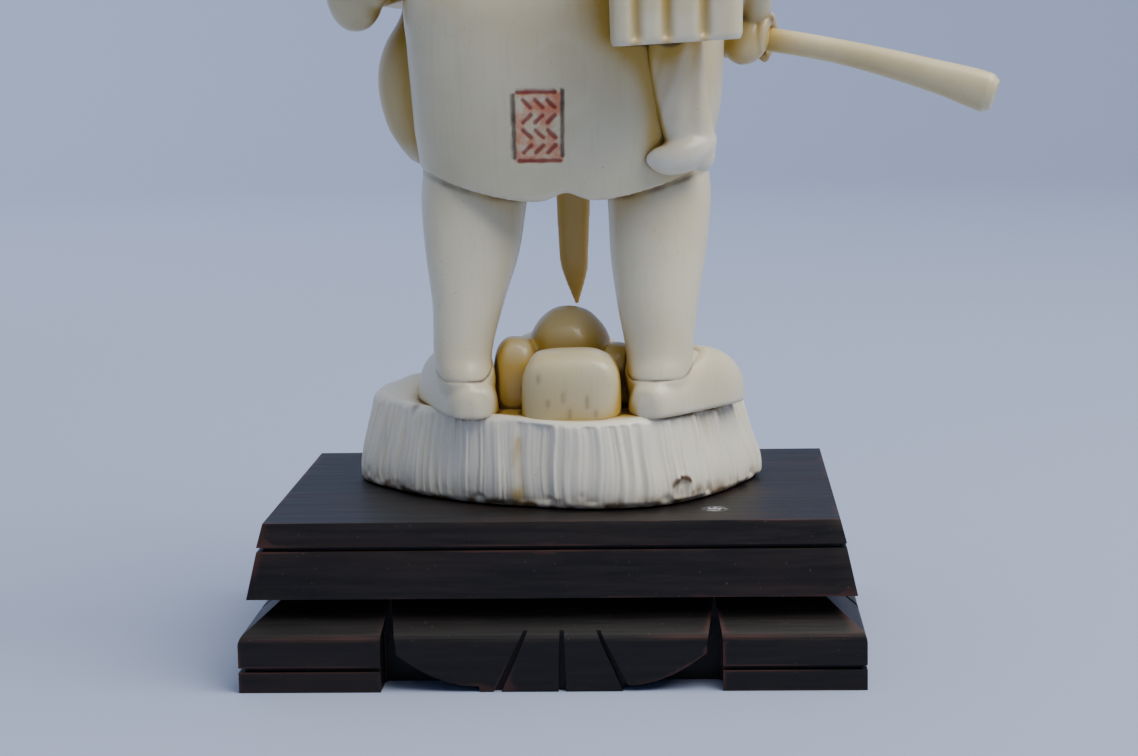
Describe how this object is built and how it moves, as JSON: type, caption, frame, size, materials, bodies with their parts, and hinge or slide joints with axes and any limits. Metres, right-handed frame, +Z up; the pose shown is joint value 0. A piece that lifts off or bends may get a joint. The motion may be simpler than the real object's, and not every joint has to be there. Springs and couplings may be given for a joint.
{
  "type": "carved okimono figure",
  "caption": "Carved ivory-coloured figure of a woodcutter holding an axe, astride rocks on a fluted stump, set on a stepped dark hardwood stand.",
  "frame": {"origin": "middle of the stand's flat underside", "axes": "+Z up, the figure faces -Y, its left hand is at +X"},
  "size_m": [0.157, 0.092, 0.2113],
  "materials": {
    "ivory": "polished ivory with brown patina in the hollows",
    "rosewood": "dark stained and waxed hardwood, reddish where worn"
  },
  "bodies": {
    "root": {"stand": "rosewood", "figure": "ivory", "axe": "ivory"}
  },
  "joints": []
}
